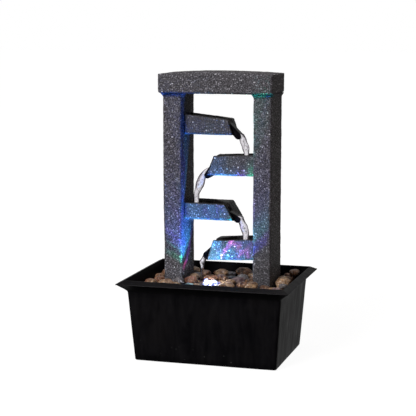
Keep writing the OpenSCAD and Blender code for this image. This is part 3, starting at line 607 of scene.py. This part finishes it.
def basin_sections():
    """(inset from the rim's edge, height, corner radius), from the base's middle out, up, over and in."""
    top = basin_high.z
    base = basin_low.z
    rim = top - RIM_DROP
    sections = [(60 * MM, base, 2 * MM), (BASE_INSET + 2 * MM, base, CORNER_R)]
    sections += [(BASE_INSET + 0.6 * MM, base + 0.2 * MM, CORNER_R), (BASE_INSET, base + 1.2 * MM, CORNER_R)]
    for share in (0.1, 0.2, 0.35, 0.5, 0.65, 0.8, 0.9):
        inset = BASE_INSET + (BODY_INSET - BASE_INSET) * share
        sections.append((inset, base + (BODY_TOP_Z - base) * share, CORNER_R))
    sections += [(BODY_INSET, BODY_TOP_Z - 1.4 * MM, CORNER_R),
                 (BODY_INSET - 0.5 * MM, BODY_TOP_Z, CORNER_R * 0.9)]
    sections += [(BODY_INSET * (1 - t), BODY_TOP_Z + (rim - BODY_TOP_Z) * t,
                  CORNER_R * (1 - t) + 0.9 * MM * t)
                 for t in (0.3, 0.6, 0.9)]
    sections += [(0.25 * MM, rim - 0.7 * MM, 0.9 * MM), (0, rim - 0.1 * MM, 0.8 * MM),
                 (0.3 * MM, rim + 0.35 * MM, 0.8 * MM)]
    sections += [(RIDGE_IN * t, rim + RIM_DROP * t * 0.97, 0.8 * MM) for t in (0.3, 0.6, 0.88)]
    sections += [(RIDGE_IN + 0.1 * MM, top - 0.05 * MM, 0.8 * MM), (RIDGE_IN + RIDGE_T * 0.6, top, 0.8 * MM)]
    sections += [(RIDGE_IN + RIDGE_T, top - 0.5 * MM, 0.8 * MM)]
    inner = BODY_INSET + WALL
    sections += [(RIDGE_IN + RIDGE_T + (inner - RIDGE_IN - RIDGE_T) * t,
                  top - (top - BODY_TOP_Z) * t, CORNER_R * 0.6)
                 for t in (0.35, 0.7, 1.0)]
    floor = base + FLOOR_T
    sections += [(inner + (BASE_INSET - BODY_INSET) * t, BODY_TOP_Z - (BODY_TOP_Z - floor) * t, CORNER_R)
                 for t in (0.1, 0.3, 0.6, 0.98)]
    sections += [(BASE_INSET + WALL + 1 * MM, floor, CORNER_R), (60 * MM, floor, 2 * MM)]
    return sections


WALL_LOOP = 8              # this section of the wall sets how finely all of them are divided
DIVISION = 9 * MM
RIDGE_LOOP = 24            # the sections from this one on are inside the mouth


def make_basin():
    half_w = basin_high.x
    half_d = basin_high.y
    loops = []
    for inset, z, r in basin_sections():
        loop = rounded_loop(half_w - inset, half_d - inset, z, r)
        loops.append(loop)
    wall = loops[WALL_LOOP]
    counts = [max(1, math.ceil((Vector(b) - Vector(a)).length / DIVISION))
              for a, b in zip(wall, wall[1:] + wall[:1])]
    dense = []
    for loop in loops:
        out = []
        for (a, b), count in zip(zip(loop, loop[1:] + loop[:1]), counts):
            out += [tuple(Vector(a).lerp(Vector(b), k / count)) for k in range(count)]
        dense.append(out)
    mesh = loft("basin_shell", dense)
    points = read_points(mesh)
    normals = read_normals(mesh)
    wave = np.array([noise.noise(Vector(p) * 22) for p in points])
    inward = np.clip(wave * 0.35, -0.35, 0) * MM
    write_points(mesh, points + normals * inward[:, None])
    inner = np.arange(len(points)) >= RIDGE_LOOP * len(dense[0])
    mesh.attributes.new("inner", "FLOAT", "POINT").data.foreach_set("value", inner.astype(np.float32))
    add_object("basin_shell", smooth(mesh), basin_finish(), "basin", ["basin"])


# ---- Pebbles ----

def solids_of(mesh):
    """Index lists of the mesh's separate solids."""
    parent = list(range(len(mesh.vertices)))

    def root(i):
        while parent[i] != i:
            parent[i] = parent[parent[i]]
            i = parent[i]
        return i

    spots = {}
    for v in mesh.vertices:
        key = tuple(round(c * 1e6) for c in v.co)
        spots.setdefault(key, v.index)
        parent[v.index] = spots[key]
    for edge in mesh.edges:
        a, b = (root(i) for i in edge.vertices)
        parent[a] = b
    groups = {}
    for i in range(len(parent)):
        groups.setdefault(root(i), []).append(i)
    return list(groups.values())


def measured(points):
    """(middle, half sizes, turn about Z) of an ellipsoid from points on it."""
    low, high = points.min(0), points.max(0)
    middle = (low + high) / 2
    flat = points[:, :2] - middle[:2]
    _, axes = np.linalg.eigh(np.cov(flat.T))
    long = axes[:, 1]
    turn = math.atan2(long[1], long[0])
    across = np.array([-long[1], long[0]])
    return middle, (np.abs(flat @ long).max(), np.abs(flat @ across).max(), (high[2] - low[2]) / 2), turn


BALLS = {}


def ball(level):
    """A unit sphere's points and faces, from an icosahedron divided level times."""
    if level not in BALLS:
        built = bmesh.new()
        bmesh.ops.create_icosphere(built, subdivisions=level, radius=1)
        built.verts.ensure_lookup_table()
        points = np.array([v.co for v in built.verts])
        BALLS[level] = (points, [tuple(v.index for v in f.verts) for f in built.faces])
        built.free()
    return BALLS[level]


def pebble_points(unit, half, turn, middle, dice):
    """A water-worn stone in the ellipsoid's place: blunt, dented and slightly off round."""
    offset = Vector((dice.uniform(-50, 50), dice.uniform(-50, 50), dice.uniform(-50, 50)))
    blunt = np.sign(unit) * np.abs(unit) ** dice.uniform(0.8, 0.96)
    swell = np.array([1 + 0.2 * noise.noise(Vector(p) * 0.9 + offset)
                      + 0.1 * noise.noise(Vector(p) * 2.1 + offset)
                      + 0.03 * noise.noise(Vector(p) * 5 + offset) for p in unit])
    shaped = blunt * swell[:, None]
    shaped /= np.abs(shaped).max(0)
    shaped *= np.array(half) * 1.03
    c, s = math.cos(turn), math.sin(turn)
    x = shaped[:, 0] * c - shaped[:, 1] * s
    y = shaped[:, 0] * s + shaped[:, 1] * c
    return np.stack([x, y, shaped[:, 2]], 1) + middle


def make_pebbles():
    kinds = {
        "pebbles_tan": ((0.14, 0.07, 0.035), (0.39, 0.22, 0.11), (0.62, 0.4, 0.22), (0.68, 0.52, 0.37)),
        "pebbles_brown": ((0.055, 0.024, 0.012), (0.19, 0.085, 0.04), (0.37, 0.19, 0.1), (0.45, 0.3, 0.19)),
        "pebbles_russet": ((0.07, 0.022, 0.012), (0.21, 0.08, 0.04), (0.42, 0.2, 0.11), (0.5, 0.32, 0.21)),
        "pebbles_grey": ((0.06, 0.052, 0.055), (0.17, 0.15, 0.15), (0.36, 0.33, 0.32), (0.46, 0.42, 0.4)),
        "pebbles_plum": ((0.08, 0.045, 0.045), (0.19, 0.115, 0.115), (0.3, 0.2, 0.19), (0.4, 0.29, 0.26)),
        "pebbles_slate": ((0.006, 0.007, 0.011), (0.016, 0.019, 0.028), (0.05, 0.06, 0.085),
                          (0.07, 0.08, 0.11)),
        "pebble_teal": ((0.13, 0.24, 0.25), (0.27, 0.45, 0.46), (0.42, 0.62, 0.6), (0.52, 0.7, 0.68)),
    }
    for seed, (node, tones) in enumerate(kinds.items()):
        dice = random.Random(seed + 11)
        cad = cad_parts[node].data
        every = read_points(cad)
        points, faces, shades = [], [], []
        for group in sorted(solids_of(cad), key=min):
            middle, half, turn = measured(every[group])
            level = 5 if middle[2] > tray_high.z + 3 * MM else 4
            unit, around = ball(level)
            start = sum(len(p) for p in points)
            points.append(pebble_points(unit, half, turn, middle, dice))
            faces += [tuple(start + i for i in f) for f in around]
            shades += [dice.random()] * len(unit)
        mesh = mesh_from(node + "_stones", np.concatenate(points), faces)
        mesh.attributes.new("stone_shade", "FLOAT", "POINT").data.foreach_set("value", shades)
        rough = 0.16 if node == "pebbles_slate" else 0.34
        add_object(node + "_stones", smooth(mesh), stone_finish(node, *tones, roughness=rough), "basin",
                   [node])


# ---- Water ----

def stream_rings(path, sides, seed):
    """Level rings with ripples round a path of (x, y, z, half-width, half-depth)."""
    rings = []
    for x, y, z, across, deep in path:
        ring = []
        for k in range(sides):
            turn = 2 * math.pi * k / sides
            skin = Vector((math.cos(turn) * 1.3, math.sin(turn) * 1.3, z * 120 + seed))
            ripple = 1 + 0.14 * noise.noise(skin)
            ring.append((x + across * ripple * math.cos(turn), y + deep * ripple * math.sin(turn), z))
        rings.append(ring)
    return rings


def smooth_path(knots, count):
    """Catmull-Rom points through knots, each a tuple of numbers."""
    k = np.array([knots[0], *knots, knots[-1]], float)
    out = []
    for s in np.linspace(0, len(knots) - 1, count):
        i = min(int(s), len(knots) - 2)
        t = s - i
        a, b, c, d = k[i], k[i + 1], k[i + 2], k[i + 3]
        out.append(0.5 * (2 * b + (c - a) * t + (2 * a - 5 * b + 4 * c - d) * t * t
                          + (3 * b - a - 3 * c + d) * t ** 3))
    return [tuple(p) for p in out]


# Each stream from its lip down, in millimetres: height, left edge, right edge, half-depth
STREAMS = {
    "stream_1": [(272.4, 17, 22, 5), (270, 21, 27, 5), (267, 22.5, 29, 4.8), (264.5, 22, 30.5, 4.6),
                 (260.5, 23, 32, 4.4), (255.5, 25.3, 34.3, 4.2), (250.5, 26.3, 34.5, 4), (246.5, 28, 34.2, 4),
                 (237, 28, 34, 4.4)],
    "stream_2": [(227.5, -18.6, -15, 5), (225, -22, -16, 5), (220, -26.8, -18, 4.8), (215, -30, -20.4, 4.6),
                 (210, -32.2, -21.8, 4.6), (205, -33.2, -23, 4.6), (200, -34.3, -25.6, 4.2),
                 (195, -34.8, -28.2, 3.8), (191, -35.2, -28.6, 3.8), (177, -35, -29, 4.4)],
    "stream_3": [(171, 17, 23, 5), (169.5, 20, 27, 5), (166.5, 22, 28.3, 4.8), (162.7, 21.6, 30.2, 4.6),
                 (159, 23, 32.6, 4.4), (155.5, 23.7, 33.5, 4.4), (150.5, 25.5, 34.3, 4.2),
                 (147, 26.7, 34.3, 4), (134.5, 27, 33.5, 4.4)],
    "stream_4": [(125, -19, -14, 5), (123, -21.9, -15, 5), (120.5, -23, -16.5, 4.8),
                 (115.5, -25.2, -18.4, 4.4), (110.5, -28.2, -21.2, 4), (105.5, -26.4, -22.2, 3.4),
                 (100, -27, -23.2, 2.6), (90, -27, -23.6, 2.4)],
}
EDGE_SHADE_SIDE = (1, 1, 1, -1)   # the side of each stream that gets painted shade on its edge
# where on that side the painted edge shade begins and where it is full
EDGE_SHADE_FROM = ((0.62, 0.86), (0.68, 0.9), (0.62, 0.86), (0.2, 0.6))
SWELL = 4.2 * MM           # height of the highest lit crest over the lens
CLEAR_BELOW = 105 * MM     # the lowest stream has no air in it under this height


def make_streams(water):
    for seed, (name, knots) in enumerate(STREAMS.items()):
        spout_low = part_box("spout_" + name[-1])[0]
        y = spout_low.y + LIP_W / 2
        path = [((left + right) / 2 * MM, y, z * MM, (right - left) / 2 * MM, deep * MM)
                for z, left, right, deep in smooth_path(knots, 44)]
        mesh = loft(name, stream_rings(path, 28, seed * 7.3))
        heights = read_points(mesh)[:, 2]
        clear = ease(heights, CLEAR_BELOW, CLEAR_BELOW - 2 * MM)
        mesh.attributes.new("clear", "FLOAT", "POINT").data.foreach_set("value", clear.astype(np.float32))
        # painted shade on one edge of the stream, kept in the attribute rim
        sideways = read_normals(mesh)[:, 0] * EDGE_SHADE_SIDE[seed]
        rim = ease(sideways, *EDGE_SHADE_FROM[seed]) * (0.75 + uneven(read_points(mesh), [(3 * MM, 0.6)]))
        rim = np.clip(rim, 0, 1).astype(np.float32)
        mesh.attributes.new("rim", "FLOAT", "POINT").data.foreach_set("value", rim)
        if name == "stream_4":
            stream = add_object(name, smooth(mesh), water, None)
            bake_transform(stream)
        else:
            add_object(name, smooth(mesh), water, "tower")


def make_swell():
    """Water wells up in crests over the lens; their light is painted into the water as a glow."""
    unit, around = ball(5)
    crest = np.array([noise.noise(Vector((p[0] * 1.9 + 3.1, p[1] * 1.9, 0.7))) for p in unit])
    across = (lens_high.x - lens_low.x) / 2
    shape = unit * (across + 1.5 * MM, across * 0.8, 3.4 * MM)
    shape[:, 2] *= np.clip(0.5 + 1.6 * crest, 0.2, 2)
    shape[:, :2] *= (1 + 0.3 * crest)[:, None]
    top = shape[:, 2].max()
    shape[:, 2] *= np.where(shape[:, 2] > 0, SWELL / top, 0.5)
    mesh = mesh_from("lit_swell", shape + np.array(LAMP), around)
    swell = add_object("lit_swell", smooth(mesh), lens_finish("swell_glow"), "basin")
    swell.visible_shadow = False


# ---- Light in the pebbles ----

class Glow:
    """The lens as one lamp. The moving water over it bends its light into beams and streaks of many
    colours, and each is added here in the direction in which it leaves."""

    def __init__(self, name):
        data = bpy.data.lights.new(name, "POINT")
        data.energy = 1
        data.shadow_soft_size = 1.2 * MM
        data.use_nodes = True
        self.lamp = bpy.data.objects.new(name, data)
        bpy.context.collection.objects.link(self.lamp)
        self.lamp.location = LAMP + Vector((0, 0, 3 * MM))
        self.tree = data.node_tree
        self.patches = {}
        self.straight = self.node("TexCoord").outputs["Normal"]
        bend = self.vector("SUBTRACT", self.noise(self.straight, 8).outputs["Color"], (0.5, 0.5, 0.5))
        bent = self.vector("MULTIPLY_ADD", bend, (0.16, 0.16, 0.16), self.straight)
        self.way = self.vector("NORMALIZE", bent)
        self.total = None

    def node(self, kind, **settings):
        made = self.tree.nodes.new("ShaderNode" + kind)
        for key, value in settings.items():
            setattr(made, key, value)
        return made

    def plug(self, socket, value):
        if isinstance(value, bpy.types.NodeSocket):
            self.tree.links.new(value, socket)
        else:
            socket.default_value = value

    def noise(self, where, scale):
        made = self.node("TexNoise")
        made.inputs["Scale"].default_value = scale
        made.inputs["Detail"].default_value = 3
        made.inputs["Distortion"].default_value = 1.2
        self.plug(made.inputs["Vector"], where)
        return made

    def vector(self, operation, *values):
        made = self.node("VectorMath", operation=operation)
        for socket, value in zip(made.inputs, values):
            self.plug(socket, value)
        return made.outputs["Value" if operation in ("DOT_PRODUCT", "LENGTH") else "Vector"]

    def between(self, value, low, high, top=1.0, kind="SMOOTHSTEP"):
        made = self.node("MapRange", interpolation_type=kind)
        for name, number in (("From Min", low), ("From Max", high), ("To Max", top)):
            made.inputs[name].default_value = number
        self.plug(made.inputs["Value"], value)
        return made.outputs["Result"]

    def toward(self, aim):
        return (Vector(aim) * MM - self.lamp.location).normalized()

    def add(self, share, colours, scale):
        """Adds light of one colour, or in patches of several."""
        shade = colours[0]
        if len(colours) > 1:
            if scale not in self.patches:
                self.patches[scale] = self.noise(self.way, scale).outputs["Fac"]
            ramp = self.node("ValToRGB")
            points = ramp.color_ramp.elements
            while len(points) < len(colours):
                points.new(0.5)
            for k, (point, colour) in enumerate(zip(points, colours)):
                point.position = 0.38 + 0.24 * k / (len(colours) - 1)
                point.color = (*colour, 1)
            self.plug(ramp.inputs["Fac"], self.patches[scale])
            shade = ramp.outputs["Color"]
        before = self.total or (0, 0, 0)
        self.total = self.vector("MULTIPLY_ADD", share, shade, before)

    def beam(self, aim, colours, power, cone, scale=8):
        """A round beam towards aim, in millimetres; the cone is in degrees."""
        near = self.vector("DOT_PRODUCT", self.way, self.toward(aim))
        self.add(self.between(near, math.cos(math.radians(cone / 2)), 1, power), colours, scale)

    def streak(self, start, end, colours, power, width, scale=8, bent=True):
        """A line of light from start to end, in millimetres; the width is in degrees."""
        first, last = self.toward(start), self.toward(end)
        along = last - first
        offset = self.vector("SUBTRACT", self.way if bent else self.straight, first)
        share = self.vector("DOT_PRODUCT", offset, along / along.length_squared)
        share = self.between(share, 0, 1, kind="LINEAR")
        gap = self.vector("LENGTH", self.vector("MULTIPLY_ADD", share, -along, offset))
        self.add(self.between(gap, math.radians(width / 2), 0, power), colours, scale)

    def edge(self, start, end, colours, power, width):
        """A straight streak along a ledge's lower edge."""
        self.streak(start, end, colours, power, width, bent=False)

    def done(self):
        self.plug(self.tree.nodes["Emission"].inputs["Color"], self.total)


def make_beams():
    blue, deep, violet = (0.02, 0.2, 1.0), (0.01, 0.06, 0.8), (0.28, 0.08, 1.0)
    magenta, green, cyan = (1.0, 0.1, 0.75), (0.04, 0.9, 0.35), (0.03, 0.5, 1.0)
    sky, teal, pink, pale = (0.05, 0.42, 1.0), (0.02, 0.75, 0.7), (1.0, 0.12, 0.5), (0.5, 0.75, 1.0)
    red = (1.0, 0.06, 0.12)
    glow = Glow("lens_light")
    # The ledges, from the top one down
    glow.edge((-44, 0, 269.6), (22, 0, 269.6), [blue], 11, 1.4)
    glow.edge((-5, 0, 220.8), (24, 0, 220.8), [blue, sky], 8, 1.6)
    glow.edge((22, 0, 220.8), (34, 0, 220.8), [violet], 6, 1.6)
    glow.edge((34, 0, 221.4), (43, 0, 221.4), [green], 5, 2.4)
    glow.beam((40, 0, 231), [green], 1.4, 8)
    glow.beam((-16, 0, 174), [deep, blue, sky, cyan], 2.0, 46)
    glow.edge((-44, 0, 166), (15, 0, 166), [cyan, teal, sky], 3.2, 3.4)
    glow.streak((-44, 0, 168), (-44, 0, 186), [blue, sky], 1.0, 4)
    glow.beam((10, 0, 128), [blue, sky, teal, deep, sky], 0.38, 96)
    glow.beam((-6, 0, 122), [sky, cyan, pale, sky], 0.3, 40, 12)
    glow.streak((17, 0, 141), (8, 0, 130), [violet, magenta], 0.8, 8)
    glow.streak((8, 0, 130), (3, 0, 121), [magenta, violet], 0.6, 8)
    glow.streak((14, 0, 140), (20, 0, 138), [magenta, pink], 0.9, 6)
    glow.streak((20, 0, 138), (28, 0, 128), [pink, violet, red], 0.6, 6)
    glow.streak((28, 0, 128), (24, 0, 121), [red, violet], 0.5, 7)
    glow.streak((38, 0, 137), (33, 0, 131), [pink, violet], 0.6, 6)
    glow.streak((33, 0, 131), (35, 0, 122), [pink, blue], 0.5, 6)
    glow.beam((28, 0, 130), [blue, deep, sky], 0.3, 50, 12)
    glow.edge((-9, 0, 119), (41, 0, 119), [cyan, teal, sky], 0.5, 4)
    # The left post's inner side and its front
    glow.beam((-45, 2, 152), [deep, blue, sky], 1.5, 50)
    glow.beam((-45, -3, 128), [blue, deep, blue, sky], 0.4, 26)
    glow.streak((-45, 24, 150), (-45, -3, 124), [cyan, sky], 1.6, 5)
    glow.streak((-45, 24, 140), (-45, -2, 119), [green, teal], 1.3, 4)
    glow.streak((-45, 28, 140), (-45, 12, 114), [violet], 0.7, 8)
    glow.streak((-45, 9, 112), (-45, -1, 105), [magenta, pink], 1.0, 6)
    glow.beam((-46, -9, 120), [green], 1.8, 6)
    glow.beam((-54, -11, 165), [deep, violet, blue, deep], 0.8, 46)
    glow.streak((-65, -11, 154), (-48, -11, 140), [deep, violet], 1.6, 9)
    glow.streak((-66, -11, 141), (-47, -11, 126), [green], 1.9, 4)
    glow.streak((-64, -11, 128), (-47, -11, 116), [teal, green, deep], 0.7, 10)
    # The right post's front
    glow.beam((54, -11, 195), [deep, violet, blue, deep], 1.2, 44)
    glow.beam((50, -11, 158), [teal, green], 0.9, 16)
    glow.streak((48, -11, 133), (66, -11, 154), [violet, deep], 1.5, 9)
    # Under the ledges and the cap
    glow.beam((-15, 4, 268), [blue, sky, blue], 2.4, 22)
    glow.beam((14, 4, 219), [sky, violet, teal], 0.35, 14)
    glow.beam((-56, -14, 318), [blue, deep, blue], 2.6, 11)
    glow.beam((56, -14, 318), [teal, green, blue], 5, 11)
    glow.beam((-45, -4, 225), [deep, blue, deep], 0.22, 30)
    glow.done()
    spill = bpy.data.lights.new("lens_spill", "POINT")
    spill.energy = 0.05
    spill.color = (0.75, 0.85, 1.0)
    spill.shadow_soft_size = 5 * MM
    lamp = bpy.data.objects.new("lens_spill", spill)
    bpy.context.collection.objects.link(lamp)
    lamp.location = LAMP + Vector((0, 0, 7 * MM))


# ---- Materials of the CAD nodes that stay ----

def paint_nodes():
    black = moulded_finish("pump_plastic", (0.018, 0.018, 0.02), 0.45)
    rubber = moulded_finish("rubber_black", (0.02, 0.02, 0.02), 0.75, 0.8 * MM, 0.05 * MM)
    finishes = {
        "foot_pads": rubber, "cable_gland": rubber, "pump_seal_ring": rubber, "pump_suction_cups": rubber,
        "shaft_bushings": rubber, "light_seal": rubber, "light_lead": rubber,
        "tray": moulded_finish("tray_plastic", (0.025, 0.024, 0.026), 0.5, 0.6 * MM),
        "riser_tube": tube_finish(), "outlet_elbow": black, "pump_motor_block": black, "pump_cover": black,
        "pump_grille": black, "light_housing": black,
        "stator_core": metal_finish("core_steel", (0.35, 0.35, 0.37), 0.4),
        "stator_coil": metal_finish("copper", (0.75, 0.32, 0.13), 0.35, 0.35 * MM),
        "rotor_shaft": moulded_finish("shaft_ceramic", (0.82, 0.82, 0.8), 0.2, 0.3 * MM, 0.005 * MM),
        "rotor_magnet": moulded_finish("magnet", (0.06, 0.06, 0.065), 0.6),
        "impeller": moulded_finish("impeller_plastic", (0.7, 0.7, 0.67), 0.4),
        "flow_slide": moulded_finish("slide_plastic", (0.35, 0.36, 0.38), 0.45),
        "light_board": moulded_finish("board", (0.02, 0.16, 0.06), 0.4),
        "light_emitters": moulded_finish("emitters", (0.85, 0.8, 0.45), 0.2),
        "light_lens": lens_finish(),
    }
    for node, material in finishes.items():
        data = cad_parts[node].data
        data.materials.clear()
        data.materials.append(material)


make_camera()
make_world()
make_studio()
make_floor()
bpy.context.scene.view_settings.view_transform = "Standard"
make_basin()
make_tower()
make_pebbles()
make_streams(water_finish())
make_swell()
make_beams()
paint_nodes()
